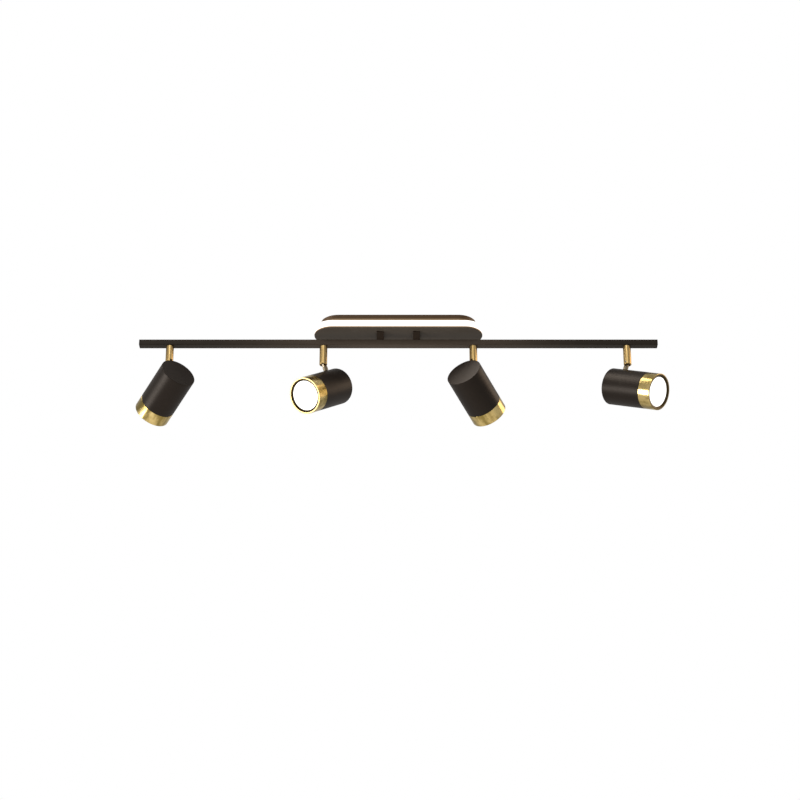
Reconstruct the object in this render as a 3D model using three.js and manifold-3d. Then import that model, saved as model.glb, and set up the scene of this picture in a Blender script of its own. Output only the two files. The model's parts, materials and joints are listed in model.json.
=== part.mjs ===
// Ceiling spotlight bar. A slim canopy with a lit band carries a straight bar on two saddles, and
// four lamp heads hang from the bar. Each head turns about its stem and tilts on a pin.
// Millimetres, +Z up. The ceiling face is z = 0, +X runs along the bar and -Y faces the room.
import * as THREE from "three";
import { mergeVertices } from "three/addons/utils/BufferGeometryUtils.js";
import Module from "manifold-3d";

// Fits
const RUNNING_GAP = 0.3; // between pieces that turn, or that rest on each other inside a head
const BORE_GAP = 0.15; // radial, round shanks in their holes
const SHEET = 1.2; // folded steel of the pan, chassis and bar
const PAST = 1; // how far a cutting tool runs past the face it cuts

// Canopy, from the ceiling down
const CANOPY_LENGTH = 260;
const CANOPY_WIDTH = 56;
const PAN_INSET = 10; // the pan is shorter than the lit band by this at each end
const PAN_HEIGHT = 9.6;
const BAND_HEIGHT = 10.2;
const BAND_WALL = 2;
const BAND_LEDGE = 10; // flange of the band under the pan's rim, measured in from the pan
const PLATE_THICKNESS = 2.5;
const CABLE_HOLE_RADIUS = 9;
const CABLE_HOLE_X = -44;
const CEILING_HOLE_RADIUS = 2.5;
const CEILING_HOLE_X = 80;
const CHASSIS_SETBACK = 6; // from the band's outside to the chassis wall
const CHASSIS_HEIGHT = 7.5;
const TAB_WIDTH = 12;
const TAB_MARGIN = 0.5; // tab left above the side screw's hole
const SIDE_SCREW_DEPTH = 4.8; // below the ceiling
const SIDE_SCREW_RADIUS = 1.9;
const SIDE_SCREW_HEAD = { seat: 3, crown: 2.3, height: 1.9 };
const STRIP_THICKNESS = 1;
const STRIP_HEIGHT = 5;
const DRIVER = { nutGap: 4.4, sideGap: 2, height: 14 };
const TERMINALS = { length: 34, width: 16, height: 11, poles: 3, wayRadius: 2.3 };

// Saddles and bar
const SADDLE_HEIGHT = 9.2;
const SADDLE_THICKNESS = 10.8;
const SADDLE_TOP_WIDTH = 36;
const SADDLE_X = 28;
const NIPPLE_RADIUS = 3;
const NIPPLE_BORE = 1.8;
const NIPPLE_NUT = { radius: 5.6, height: 3 };
const BAR_LENGTH = 800;
const BAR_WIDTH = 13;
const BAR_HEIGHT = 9.2;
const END_CAP = { plate: 2, plug: 8 };

// Stems
const INNER_HEAD_X = 115.5; // from the middle of the bar
const OUTER_HEAD_X = 352.5;
const STEM_DIAMETER = 12;
const STEM_DROP = 32.5; // below the bar
const STEM_EDGE = 1.2; // chamfer round the stem's open end
const STEM_MOUTH = { wall: 1.7, depth: 2.4 };
const PIVOT_RISE = 4.3; // tilt pin above the stem's open end
const SPIGOT_RADIUS = 3;
const WIRE_RADIUS = 1.7;
const STEM_NUT_HEIGHT = 2.4;
const PIN_RADIUS = 1.2;

// Lamp heads
const HEAD_DIAMETER = 56;
const HEAD_LENGTH = 87;
const HOUSING_WALL = 2;
const REAR_CAP = { plate: 1.6, plug: 4, edge: 0.5 };
const RING_LENGTH = 20;
const RING_LIP = 1.5;
const RING_RECESS = 2.2; // from the ring's front edge to the lens
const RING_PLUG = 5;
const LENS_INSET = 4.4; // from the head's outside to the lens edge
const LENS_THICKNESS = 2.5;
const LENS_SHELF = 2; // width of the shelf behind the lens edge
const NECK_DIAMETER = 7.6;
const NECK_REACH = 13; // tilt pin to the housing's outside
const NECK_SETBACK = 14.5; // neck axis from the head's rear face
const TONGUE = { width: 7, thickness: 3.4, length: 7 };
const NECK_SHANK_RADIUS = 2.5;
const NECK_NUT = { radius: 5, height: 3, washer: 1 };
const MODULE = { plate: 4, boss: 3, bossRadius: 11, spine: 12, behindLens: 22 };

// Heading is measured from +X towards +Y. Tilt is how far the beam points below the horizontal.
const HEADS = [
  { place: "outer_left", x: -OUTER_HEAD_X, heading: 125, tilt: 25.5 },
  { place: "inner_left", x: -INNER_HEAD_X, heading: 230, tilt: 31.5 },
  { place: "inner_right", x: INNER_HEAD_X, heading: 59, tilt: 26 },
  { place: "outer_right", x: OUTER_HEAD_X, heading: -35, tilt: 22.5 },
];

const finish = (color, roughness, metalness) =>
  new THREE.MeshStandardMaterial({ color, roughness, metalness });
const BRONZE_PAINT = finish(0x5b4a38, 0.45, 0.5);
const DARK_PAINT = finish(0x2f2925, 0.42, 0.4);
const BRASS = finish(0xc9a050, 0.28, 1);
const STEEL = finish(0x8d8f92, 0.4, 0.9);
const ALUMINIUM = finish(0xb9bcc0, 0.4, 0.9);
const OPAL = finish(0xffffff, 0.5, 0);
const PALE_PLASTIC = finish(0xe6e4dc, 0.6, 0);

const wasm = await Module();
wasm.setup();

const ROUND = { head: 32, stem: 24, small: 12, end: 14 };
const Z_AXIS = "z";
const X_AXIS = "x";
const Y_AXIS = "y";

// A three.js geometry as a closed solid for the booleans.
function solid(geometry) {
  const bare = geometry.clone();
  bare.deleteAttribute("normal");
  bare.deleteAttribute("uv");
  const merged = mergeVertices(bare, 1e-4);
  return new wasm.Manifold(
    new wasm.Mesh({
      numProp: 3,
      vertProperties: merged.attributes.position.array,
      triVerts: new Uint32Array(merged.index.array),
    }),
  );
}

// Turns a geometry made along +Z so that it runs along the named axis.
function along(geometry, axis) {
  if (axis === X_AXIS) return geometry.rotateY(Math.PI / 2);
  if (axis === Y_AXIS) return geometry.rotateX(-Math.PI / 2);
  return geometry;
}

// A round bar between two heights on an axis through the origin.
function rod(radius, from, to, segments = ROUND.small, axis = Z_AXIS) {
  const shape = new THREE.CylinderGeometry(radius, radius, to - from, segments)
    .rotateX(Math.PI / 2)
    .translate(0, 0, (from + to) / 2);
  return solid(along(shape, axis));
}

// A closed profile of [radius, height] corners turned about an axis.
function turned(corners, segments, axis = Z_AXIS) {
  const profile = corners.map(([radius, height]) => new THREE.Vector2(radius, height));
  if (corners[0][0] > 0) profile.push(profile[0].clone());
  const shape = new THREE.LatheGeometry(profile, segments).rotateX(Math.PI / 2);
  return solid(along(shape, axis));
}

function box(x, y, z, [cx, cy, cz]) {
  return solid(new THREE.BoxGeometry(x, y, z).translate(cx, cy, cz));
}

// A flat bar with round ends, between two heights.
function stadium(length, width, from, to) {
  const radius = width / 2;
  const straight = (length - width) / 2;
  const shape = new THREE.Shape();
  shape.absarc(straight, 0, radius, -Math.PI / 2, Math.PI / 2, false);
  shape.absarc(-straight, 0, radius, Math.PI / 2, (3 * Math.PI) / 2, false);
  const depth = to - from;
  const options = { depth, bevelEnabled: false, curveSegments: ROUND.end };
  return solid(new THREE.ExtrudeGeometry(shape, options).translate(0, 0, from));
}

function named(name, body, material) {
  const cut = body.getMesh();
  const geometry = new THREE.BufferGeometry();
  const points = new Float32Array(cut.vertProperties);
  geometry.setAttribute("position", new THREE.BufferAttribute(points, 3));
  geometry.setIndex(new THREE.BufferAttribute(new Uint32Array(cut.triVerts), 1));
  geometry.computeVertexNormals();
  const mesh = new THREE.Mesh(geometry, material);
  mesh.name = name;
  return mesh;
}

// Heights of the stack, measured down from the ceiling
const PAN_BOTTOM = -PAN_HEIGHT;
const BAND_BOTTOM = PAN_BOTTOM - BAND_HEIGHT;
const PLATE_BOTTOM = BAND_BOTTOM - PLATE_THICKNESS;
const BAR_TOP = PLATE_BOTTOM - SADDLE_HEIGHT;
const BAR_BOTTOM = BAR_TOP - BAR_HEIGHT;
const FLOOR_TOP = BAND_BOTTOM + SHEET; // upper face of the chassis floor
const PAN_LENGTH = CANOPY_LENGTH - 2 * PAN_INSET;
const OPENING_LENGTH = PAN_LENGTH - 2 * BAND_LEDGE;
const OPENING_WIDTH = CANOPY_WIDTH - 2 * BAND_LEDGE;
const OPENING_STRAIGHT = (OPENING_LENGTH - OPENING_WIDTH) / 2; // half the opening's straight side
const CHASSIS_LENGTH = CANOPY_LENGTH - 2 * CHASSIS_SETBACK;
const CHASSIS_WIDTH = CANOPY_WIDTH - 2 * CHASSIS_SETBACK;
const TAB_X = OPENING_LENGTH / 2 - BAND_WALL;

// Pan: a shallow lid with its flat face on the ceiling.
function ceilingPan() {
  let pan = stadium(PAN_LENGTH, CANOPY_WIDTH, PAN_BOTTOM, 0).subtract(
    stadium(PAN_LENGTH - 2 * SHEET, CANOPY_WIDTH - 2 * SHEET, PAN_BOTTOM - PAST, -SHEET),
  );
  const entry = rod(CABLE_HOLE_RADIUS, -SHEET - PAST, PAST, ROUND.stem);
  pan = pan.subtract(entry.translate([CABLE_HOLE_X, 0, 0]));
  for (const side of [-1, 1]) {
    const hole = rod(CEILING_HOLE_RADIUS, -SHEET - PAST, PAST);
    pan = pan.subtract(hole.translate([side * CEILING_HOLE_X, 0, 0]));
  }
  const half = PAN_LENGTH / 2 + PAST;
  const cross = rod(SIDE_SCREW_RADIUS + BORE_GAP, -half, half, ROUND.small, X_AXIS);
  return pan.subtract(cross.translate([0, 0, -SIDE_SCREW_DEPTH]));
}

// Side screw: a low head outside the pan and a shank into the chassis tab.
function canopyScrew(side) {
  const { seat, crown, height } = SIDE_SCREW_HEAD;
  const out = PAN_LENGTH / 2;
  const reach = TAB_X - SHEET - PAST;
  const screw = turned(
    [
      [0, reach],
      [SIDE_SCREW_RADIUS, reach],
      [SIDE_SCREW_RADIUS, out + RUNNING_GAP],
      [seat, out + RUNNING_GAP],
      [crown, out + RUNNING_GAP + height],
      [0, out + RUNNING_GAP + height],
    ],
    ROUND.small,
    X_AXIS,
  );
  const facing = side < 0 ? screw.rotate([0, 0, 180]) : screw;
  return facing.translate([0, 0, -SIDE_SCREW_DEPTH]);
}

// Lit band: an opal wall with a flange that closes the step up to the pan.
function diffuserBand() {
  const inner = [CANOPY_LENGTH - 2 * BAND_WALL, CANOPY_WIDTH - 2 * BAND_WALL];
  return stadium(CANOPY_LENGTH, CANOPY_WIDTH, BAND_BOTTOM, PAN_BOTTOM)
    .subtract(stadium(...inner, BAND_BOTTOM - PAST, PAN_BOTTOM - BAND_WALL))
    .subtract(stadium(OPENING_LENGTH, OPENING_WIDTH, BAND_BOTTOM, PAN_BOTTOM + PAST));
}

// Chassis: a tray that holds the electrics, with a tab at each end for the side screws.
function chassis() {
  let tray = stadium(CHASSIS_LENGTH, CHASSIS_WIDTH, BAND_BOTTOM, BAND_BOTTOM + CHASSIS_HEIGHT);
  const inside = [CHASSIS_LENGTH - 2 * SHEET, CHASSIS_WIDTH - 2 * SHEET];
  tray = tray.subtract(stadium(...inside, FLOOR_TOP, BAND_BOTTOM + CHASSIS_HEIGHT + PAST));
  const top = -SIDE_SCREW_DEPTH + SIDE_SCREW_RADIUS + TAB_MARGIN;
  for (const side of [-1, 1]) {
    const height = top - BAND_BOTTOM;
    const at = [side * (TAB_X - SHEET / 2), 0, BAND_BOTTOM + height / 2];
    tray = tray.add(box(SHEET, TAB_WIDTH, height, at));
    const hole = rod(NIPPLE_RADIUS + BORE_GAP, BAND_BOTTOM - PAST, FLOOR_TOP + PAST);
    tray = tray.subtract(hole.translate([side * SADDLE_X, 0, 0]));
  }
  const cross = rod(SIDE_SCREW_RADIUS + BORE_GAP, -TAB_X - PAST, TAB_X + PAST, ROUND.small, X_AXIS);
  return tray.subtract(cross.translate([0, 0, -SIDE_SCREW_DEPTH]));
}

// Light strip: a loop round the outside of the chassis wall.
function ledStrip() {
  const from = FLOOR_TOP + PAST;
  const to = from + STRIP_HEIGHT;
  const inner = 2 * BORE_GAP;
  const outer = inner + 2 * STRIP_THICKNESS;
  return stadium(CHASSIS_LENGTH + outer, CHASSIS_WIDTH + outer, from, to).subtract(
    stadium(CHASSIS_LENGTH + inner, CHASSIS_WIDTH + inner, from - PAST, to + PAST),
  );
}

// Plate: the flat underside of the canopy.
function lowerPlate() {
  let plate = stadium(CANOPY_LENGTH, CANOPY_WIDTH, PLATE_BOTTOM, BAND_BOTTOM);
  for (const side of [-1, 1]) {
    const hole = rod(NIPPLE_RADIUS + BORE_GAP, PLATE_BOTTOM - PAST, BAND_BOTTOM + PAST);
    plate = plate.subtract(hole.translate([side * SADDLE_X, 0, 0]));
  }
  return plate;
}

// Driver: a box that fills the tray between the right saddle's nut and the end of the opening.
function ledDriver() {
  const { nutGap, sideGap, height } = DRIVER;
  const length = OPENING_STRAIGHT - SADDLE_X - NIPPLE_NUT.radius - nutGap;
  const at = [OPENING_STRAIGHT - length / 2, 0, FLOOR_TOP + height / 2];
  return box(length, OPENING_WIDTH - 2 * sideGap, height, at);
}

// Terminal block: one moulding with a wire way through each pole.
function terminalBlock() {
  const { length, width, height, poles, wayRadius } = TERMINALS;
  const x = length / 2 - OPENING_STRAIGHT;
  let block = box(length, width, height, [x, 0, FLOOR_TOP + height / 2]);
  const pitch = length / poles;
  for (let pole = 0; pole < poles; pole += 1) {
    const at = x - length / 2 + (pole + 0.5) * pitch;
    const way = rod(wayRadius, -width, width, ROUND.small, Y_AXIS);
    block = block.subtract(way.translate([at, 0, FLOOR_TOP + height / 2]));
  }
  return block;
}

// Saddle: a tapered block between the plate and the bar, bored for its nipple.
function saddleBracket(side) {
  const shape = new THREE.Shape([
    new THREE.Vector2(-BAR_WIDTH / 2, BAR_TOP),
    new THREE.Vector2(BAR_WIDTH / 2, BAR_TOP),
    new THREE.Vector2(SADDLE_TOP_WIDTH / 2, PLATE_BOTTOM),
    new THREE.Vector2(-SADDLE_TOP_WIDTH / 2, PLATE_BOTTOM),
  ]);
  const block = new THREE.ExtrudeGeometry(shape, { depth: SADDLE_THICKNESS, bevelEnabled: false })
    .rotateX(Math.PI / 2)
    .rotateZ(Math.PI / 2)
    .translate(-SADDLE_THICKNESS / 2, 0, 0);
  return solid(block)
    .subtract(rod(NIPPLE_RADIUS + BORE_GAP, BAR_TOP - PAST, PLATE_BOTTOM + PAST))
    .translate([side * SADDLE_X, 0, 0]);
}

// Nipple: a hollow screw that clamps bar, saddle, plate and chassis, and lets the wires down.
function saddleNipple(side) {
  const under = BAR_TOP - SHEET;
  const flange = BAR_WIDTH / 2 - SHEET - RUNNING_GAP;
  return turned(
    [
      [NIPPLE_BORE, under - SHEET],
      [flange, under - SHEET],
      [flange, under],
      [NIPPLE_RADIUS, under],
      [NIPPLE_RADIUS, FLOOR_TOP + NIPPLE_NUT.height + PAST],
      [NIPPLE_BORE, FLOOR_TOP + NIPPLE_NUT.height + PAST],
    ],
    ROUND.small,
  ).translate([side * SADDLE_X, 0, 0]);
}

function saddleNut(side) {
  return rod(NIPPLE_NUT.radius, FLOOR_TOP, FLOOR_TOP + NIPPLE_NUT.height, 6)
    .subtract(rod(NIPPLE_RADIUS + BORE_GAP, BAND_BOTTOM, PAN_BOTTOM))
    .translate([side * SADDLE_X, 0, 0]);
}

// Bar: a rectangular tube, open at both ends until its caps go in.
function bar() {
  const length = BAR_LENGTH - 2 * END_CAP.plate;
  const middle = [0, 0, (BAR_TOP + BAR_BOTTOM) / 2];
  let tube = box(length, BAR_WIDTH, BAR_HEIGHT, middle).subtract(
    box(length + PAST, BAR_WIDTH - 2 * SHEET, BAR_HEIGHT - 2 * SHEET, middle),
  );
  for (const side of [-1, 1]) {
    const hole = rod(NIPPLE_RADIUS + BORE_GAP, BAR_TOP - SHEET - PAST, BAR_TOP + PAST);
    tube = tube.subtract(hole.translate([side * SADDLE_X, 0, 0]));
  }
  for (const { x } of HEADS) {
    const hole = rod(SPIGOT_RADIUS + BORE_GAP, BAR_BOTTOM - PAST, BAR_BOTTOM + SHEET + PAST);
    tube = tube.subtract(hole.translate([x, 0, 0]));
  }
  return tube;
}

function barEndCap(side) {
  const { plate, plug } = END_CAP;
  const z = (BAR_TOP + BAR_BOTTOM) / 2;
  const inset = 2 * (SHEET + BORE_GAP);
  const outside = box(plate, BAR_WIDTH, BAR_HEIGHT, [(BAR_LENGTH - plate) / 2, 0, z]);
  const at = [BAR_LENGTH / 2 - plate / 2 - (plug + plate / 2) / 2, 0, z];
  const inside = box(plug + plate / 2, BAR_WIDTH - inset, BAR_HEIGHT - inset, at);
  const cap = outside.add(inside);
  return side < 0 ? cap.rotate([0, 0, 180]) : cap;
}

// Everything below hangs from a pivot. A stem is made with its tilt pin at the origin and the beam's
// heading along +X. A head is made level, with the same origin and its beam along +X.
const STEM_TOP = STEM_DROP - PIVOT_RISE - RUNNING_GAP;
const WALL_INSIDE = STEM_DROP - PIVOT_RISE + SHEET;
const SLOT_HALF = TONGUE.width / 2 + RUNNING_GAP;
const HEAD_RADIUS = HEAD_DIAMETER / 2;
const HEAD_DROP = NECK_REACH + HEAD_RADIUS; // pin to the head's axis
const HEAD_BORE = HEAD_RADIUS - HOUSING_WALL;
const REAR = -NECK_SETBACK;
const FRONT = REAR + HEAD_LENGTH;
const RING_BACK = FRONT - RING_LENGTH;
const LENS_RADIUS = HEAD_RADIUS - LENS_INSET;
const LENS_FRONT = FRONT - RING_RECESS;
const LENS_BACK = LENS_FRONT - LENS_THICKNESS;
const PLUG_RADIUS = HEAD_BORE - RUNNING_GAP;

// Stem: a round post, slotted below and behind so that the neck can swing up to the horizontal.
function stem() {
  const radius = STEM_DIAMETER / 2;
  const mouth = radius - STEM_MOUTH.wall;
  const spigotTop = WALL_INSIDE + RUNNING_GAP + STEM_NUT_HEIGHT + PAST;
  const post = turned(
    [
      [WIRE_RADIUS, STEM_MOUTH.depth - PIVOT_RISE],
      [mouth, STEM_MOUTH.depth - PIVOT_RISE],
      [mouth, -PIVOT_RISE],
      [radius - STEM_EDGE, -PIVOT_RISE],
      [radius, -PIVOT_RISE + STEM_EDGE],
      [radius, STEM_TOP],
      [SPIGOT_RADIUS, STEM_TOP],
      [SPIGOT_RADIUS, spigotTop],
      [WIRE_RADIUS, spigotTop],
    ],
    ROUND.stem,
  );
  const back = -radius - PAST;
  const bottom = -PIVOT_RISE - PAST;
  const size = [SLOT_HALF - back, TONGUE.thickness + 2 * RUNNING_GAP, SLOT_HALF - bottom];
  const slot = box(...size, [(SLOT_HALF + back) / 2, 0, (SLOT_HALF + bottom) / 2]);
  const pinHole = rod(PIN_RADIUS + BORE_GAP, -radius - PAST, radius + PAST, ROUND.small, Y_AXIS);
  return post.subtract(slot).subtract(pinHole);
}

function stemNut() {
  const from = WALL_INSIDE + RUNNING_GAP;
  const radius = BAR_WIDTH / 2 - SHEET - 2 * RUNNING_GAP;
  return rod(radius, from, from + STEM_NUT_HEIGHT).subtract(
    rod(SPIGOT_RADIUS + BORE_GAP, from - PAST, from + STEM_NUT_HEIGHT + PAST),
  );
}

function pivotPin() {
  const half = STEM_DIAMETER / 2 - RUNNING_GAP;
  return rod(PIN_RADIUS, -half, half, ROUND.small, Y_AXIS);
}

// Neck: a flat tongue on the pin, a round neck, and a threaded shank through the housing wall.
function neck() {
  const shoulder = -TONGUE.length;
  const foot = -NECK_REACH + RUNNING_GAP;
  const end = -NECK_REACH - HOUSING_WALL - NECK_NUT.washer - NECK_NUT.height - PAST;
  const half = TONGUE.thickness / 2;
  const height = TONGUE.length + PAST;
  const tongue = rod(TONGUE.width / 2, -half, half, ROUND.stem, Y_AXIS).add(
    box(TONGUE.width, TONGUE.thickness, height, [0, 0, -height / 2]),
  );
  const post = turned(
    [
      [0, end],
      [NECK_SHANK_RADIUS, end],
      [NECK_SHANK_RADIUS, foot],
      [NECK_DIAMETER / 2, foot],
      [NECK_DIAMETER / 2, shoulder],
      [0, shoulder],
    ],
    ROUND.stem,
  );
  const eye = rod(PIN_RADIUS + BORE_GAP, -NECK_DIAMETER, NECK_DIAMETER, ROUND.small, Y_AXIS);
  return tongue.add(post).subtract(eye);
}

function neckNut() {
  const top = -NECK_REACH - HOUSING_WALL - NECK_NUT.washer;
  return rod(NECK_NUT.radius, top - NECK_NUT.height, top, 6).subtract(
    rod(NECK_SHANK_RADIUS + BORE_GAP, top - NECK_NUT.height - PAST, top + PAST),
  );
}

// A piece turned about the head's own axis, which lies below the pin.
function onHeadAxis(corners, segments = ROUND.head) {
  return turned(corners, segments, X_AXIS).translate([0, 0, -HEAD_DROP]);
}

function housing() {
  const from = REAR + REAR_CAP.plate + RUNNING_GAP;
  const to = RING_BACK - RUNNING_GAP;
  const tube = onHeadAxis([
    [HEAD_BORE, from],
    [HEAD_RADIUS, from],
    [HEAD_RADIUS, to],
    [HEAD_BORE, to],
  ]);
  return tube.subtract(rod(NECK_SHANK_RADIUS + BORE_GAP, -HEAD_DROP, 0));
}

function rearCap() {
  const { plate, plug, edge } = REAR_CAP;
  return onHeadAxis([
    [0, REAR],
    [HEAD_RADIUS - edge, REAR],
    [HEAD_RADIUS, REAR + edge],
    [HEAD_RADIUS, REAR + plate],
    [PLUG_RADIUS, REAR + plate],
    [PLUG_RADIUS, REAR + plate + plug],
    [PLUG_RADIUS - HOUSING_WALL, REAR + plate + plug],
    [PLUG_RADIUS - HOUSING_WALL, REAR + plate],
    [0, REAR + plate],
  ]);
}

// Light module: a disc across the housing with a heat-sink spine behind and the light source on its boss.
function ledModule() {
  const { plate, boss, bossRadius, spine, behindLens } = MODULE;
  const face = LENS_BACK - behindLens;
  const back = face - plate;
  const rim = HEAD_BORE - RUNNING_GAP;
  return onHeadAxis(
    [
      [0, back - spine],
      [bossRadius, back - spine],
      [bossRadius, back],
      [rim, back],
      [rim, face],
      [bossRadius, face],
      [bossRadius, face + boss],
      [0, face + boss],
    ],
    ROUND.stem,
  );
}

// Front ring: a brass sleeve with a thin lip, a sloping mouth and a seat for the lens.
function frontRing() {
  const seat = LENS_RADIUS + RUNNING_GAP;
  const shelf = LENS_RADIUS - LENS_SHELF;
  return onHeadAxis([
    [PLUG_RADIUS, RING_BACK - RING_PLUG],
    [PLUG_RADIUS, RING_BACK],
    [HEAD_RADIUS, RING_BACK],
    [HEAD_RADIUS, FRONT - RUNNING_GAP],
    [HEAD_RADIUS - RUNNING_GAP, FRONT],
    [HEAD_RADIUS - RING_LIP, FRONT],
    [seat, LENS_FRONT],
    [seat, LENS_BACK - RUNNING_GAP],
    [shelf, LENS_BACK - RUNNING_GAP],
    [shelf, RING_BACK - RING_PLUG],
  ]);
}

function lens() {
  return onHeadAxis([
    [0, LENS_BACK],
    [LENS_RADIUS, LENS_BACK],
    [LENS_RADIUS, LENS_FRONT],
    [0, LENS_FRONT],
  ]);
}

const fixture = new THREE.Group();
fixture.name = "ceiling_spotlight_bar";

fixture.add(
  named("ceiling_pan", ceilingPan(), BRONZE_PAINT),
  named("diffuser_band", diffuserBand(), OPAL),
  named("chassis", chassis(), STEEL),
  named("led_strip", ledStrip(), PALE_PLASTIC),
  named("lower_plate", lowerPlate(), BRONZE_PAINT),
  named("led_driver", ledDriver(), PALE_PLASTIC),
  named("terminal_block", terminalBlock(), PALE_PLASTIC),
  named("bar", bar(), DARK_PAINT),
);
for (const [hand, side] of [["left", -1], ["right", 1]]) {
  fixture.add(
    named("canopy_screw_" + hand, canopyScrew(side), STEEL),
    named("saddle_bracket_" + hand, saddleBracket(side), DARK_PAINT),
    named("saddle_nipple_" + hand, saddleNipple(side), STEEL),
    named("saddle_nut_" + hand, saddleNut(side), STEEL),
    named("bar_end_cap_" + hand, barEndCap(side), DARK_PAINT),
  );
}

for (const { place, x, heading, tilt } of HEADS) {
  const turning = new THREE.Group();
  turning.name = "turning_" + place;
  turning.position.set(x, 0, BAR_BOTTOM - STEM_DROP + PIVOT_RISE);
  turning.rotation.z = THREE.MathUtils.degToRad(heading);
  turning.add(
    named("stem_" + place, stem(), BRASS),
    named("stem_nut_" + place, stemNut(), STEEL),
    named("pivot_pin_" + place, pivotPin(), STEEL),
  );
  const tilting = new THREE.Group();
  tilting.name = "tilting_" + place;
  tilting.rotation.y = THREE.MathUtils.degToRad(tilt);
  tilting.add(
    named("neck_" + place, neck(), BRASS),
    named("neck_nut_" + place, neckNut(), STEEL),
    named("housing_" + place, housing(), DARK_PAINT),
    named("rear_cap_" + place, rearCap(), DARK_PAINT),
    named("led_module_" + place, ledModule(), ALUMINIUM),
    named("front_ring_" + place, frontRing(), BRASS),
    named("lens_" + place, lens(), OPAL),
  );
  turning.add(tilting);
  fixture.add(turning);
}

export default fixture;
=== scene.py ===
"""Ceiling spotlight bar: fine meshes, finishes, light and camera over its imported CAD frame.

Every length is in metres, in the frame of the CAD. Places and overall sizes are read from the CAD
nodes and joints, and only edge radii and surface detail are set here.
"""

import json
import logging
import math
from dataclasses import dataclass, field
from enum import Enum
from typing import Any, Optional, Sequence, Union

import bmesh
import bpy
from mathutils import Matrix, Vector
from mathutils.geometry import tessellate_polygon


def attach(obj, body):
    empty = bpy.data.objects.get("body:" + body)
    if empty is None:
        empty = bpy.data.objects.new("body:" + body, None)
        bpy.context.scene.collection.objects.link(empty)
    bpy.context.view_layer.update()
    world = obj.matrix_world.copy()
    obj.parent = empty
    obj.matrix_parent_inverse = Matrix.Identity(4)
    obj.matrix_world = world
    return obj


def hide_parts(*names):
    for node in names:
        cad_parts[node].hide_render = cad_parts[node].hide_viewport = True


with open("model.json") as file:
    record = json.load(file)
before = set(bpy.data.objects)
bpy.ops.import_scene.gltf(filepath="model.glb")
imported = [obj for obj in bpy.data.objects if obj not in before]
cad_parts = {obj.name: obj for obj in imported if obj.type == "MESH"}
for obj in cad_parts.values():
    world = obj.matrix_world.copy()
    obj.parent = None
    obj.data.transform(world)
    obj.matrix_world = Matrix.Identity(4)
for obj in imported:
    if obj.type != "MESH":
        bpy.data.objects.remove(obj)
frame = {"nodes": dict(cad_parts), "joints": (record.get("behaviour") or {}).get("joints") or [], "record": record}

LOG = logging.getLogger("spotlight_bar")
MM = 0.001
SUPPORT = 0.25 * MM  # spacing of the loops that hold a flat face flat beside a rounded edge
GAP = 0.3 * MM  # the gap that the CAD keeps between pieces of one head
FLAT = 0.07 * MM  # how far a round piece stays inside the corners of its many-sided CAD shape
SEAM = 0.08 * MM  # the gap that is left between two pieces that meet face to face
SMOOTH = math.radians(32)  # faces that meet at less than this shade as one
ROUND = 128  # facets round a lamp head
BORE = 3.15 * MM  # radius of the holes through the tube's wall and the plate
SENSOR = 36.0  # width of the camera's sensor, in millimetres
HANDS = (("left", -1), ("right", 1))
ROW = Matrix.Identity(4)  # the row frame itself
Point = tuple[float, float]
Corner = tuple[float, float, float]
Loop = list[Point]
Colour = tuple[float, float, float]
Number = Union["Signal", float]


class Axis(Enum):
    """The way along which a piece is turned or extruded in its own frame."""

    X = Matrix.Rotation(math.pi / 2, 4, "Y") @ Matrix.Rotation(math.pi / 2, 4, "Z")
    Y = Matrix.Rotation(-math.pi / 2, 4, "X")
    Z = Matrix.Identity(4)


class Slot(Enum):
    """The record's material slots that new pieces take their finishes from."""

    BRONZE = "bronze_paint"
    PLATE = "bronze_plate"
    BAR = "bar_paint"
    SADDLE = "saddle_paint"
    HOUSING = "housing_paint"
    STEM = "brass_stem"
    NECK = "brass_neck"
    RING = "brass_ring"
    LENS = "opal_lens"
    BAND = "opal_band"
    STRIP = "strip"
    STEEL = "steel"
    ALUMINIUM = "aluminium"
    PLASTIC = "pale_plastic"


# Shader writing


class Signal:
    """A number that varies over a surface. Arithmetic on it adds Math nodes."""

    def __init__(self, recipe: "Recipe", socket: bpy.types.NodeSocket) -> None:
        """Wraps an output socket of the recipe's node tree."""
        self.recipe = recipe
        self.socket = socket

    def _math(self, operation: str, *values: Number) -> "Signal":
        """Adds one Math node, with its inputs in order."""
        node = self.recipe.node(
            "ShaderNodeMath", {"operation": operation}, dict(enumerate(values))
        )
        return Signal(self.recipe, node.outputs[0])

    def __add__(self, other: Number) -> "Signal":
        """Sum."""
        return self._math("ADD", self, other)

    __radd__ = __add__

    def __sub__(self, other: Number) -> "Signal":
        """Difference."""
        return self._math("SUBTRACT", self, other)

    def __mul__(self, other: Number) -> "Signal":
        """Product."""
        return self._math("MULTIPLY", self, other)

    __rmul__ = __mul__

    def __pow__(self, other: float) -> "Signal":
        """Power."""
        return self._math("POWER", self, other)

    def angle(self, other: "Signal") -> "Signal":
        """Direction of the point (other, self), in radians."""
        return self._math("ARCTAN2", self, other)

    def over(self, start: float, end: float) -> "Signal":
        """A clamped, smoothed ramp that rises from 0 at start to 1 at end."""
        node = self.recipe.node(
            "ShaderNodeMapRange",
            {"interpolation_type": "SMOOTHSTEP"},
            {"Value": self, "From Min": start, "From Max": end},
        )
        return Signal(self.recipe, node.outputs["Result"])


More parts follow.
